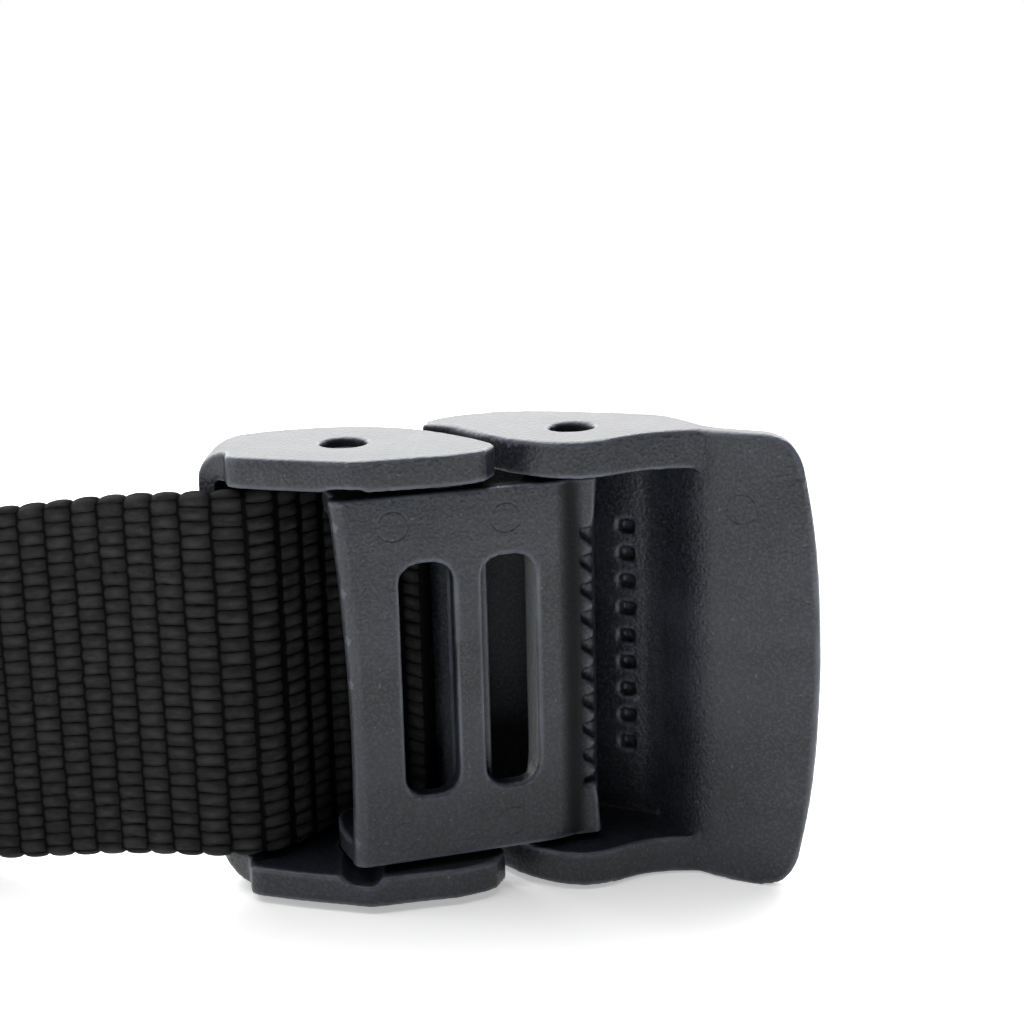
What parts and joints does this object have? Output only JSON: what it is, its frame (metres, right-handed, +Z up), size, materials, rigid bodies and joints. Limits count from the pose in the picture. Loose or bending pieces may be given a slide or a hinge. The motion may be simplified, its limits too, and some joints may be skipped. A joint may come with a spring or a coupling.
{
  "type": "dive weight belt",
  "caption": "Webbing belt for carrying dive weights, with a moulded quick-release buckle: a hinged strap clip, a slotted toothed jaw frame and a cam lever, shown open.",
  "frame": {"origin": "middle of the rectangle that the belt covers, on the surface that its lower edges stand on", "axes": "+X along the belt towards the lever's lip, +Y towards the wearer's body, +Z up, across the webbing"},
  "size_m": [0.206, 0.105, 0.0614],
  "materials": {
    "black_plastic": "fine spark-eroded grain, satin black moulded plastic",
    "black_webbing": "black woven nylon webbing with long floats"
  },
  "bodies": {
    "clip_and_webbing": {"strap_clip": "black_plastic", "webbing_strap": "black_webbing"},
    "jaw_frame": {"jaw_frame": "black_plastic"},
    "cam_lever": {"cam_lever": "black_plastic"}
  },
  "joints": [
    {"name": "clip_hinge", "type": "hinge", "parent": "clip_and_webbing", "child": "jaw_frame", "pos_m": [0.04216, -0.04094, 0.0307], "axis": [0, 0, 1], "range_deg": [-5, 5]},
    {"name": "lever_hinge", "type": "hinge", "parent": "jaw_frame", "child": "cam_lever", "pos_m": [0.07156, -0.03664, 0.0307], "axis": [0, 0, 1], "range_deg": [-108, 0]}
  ]
}
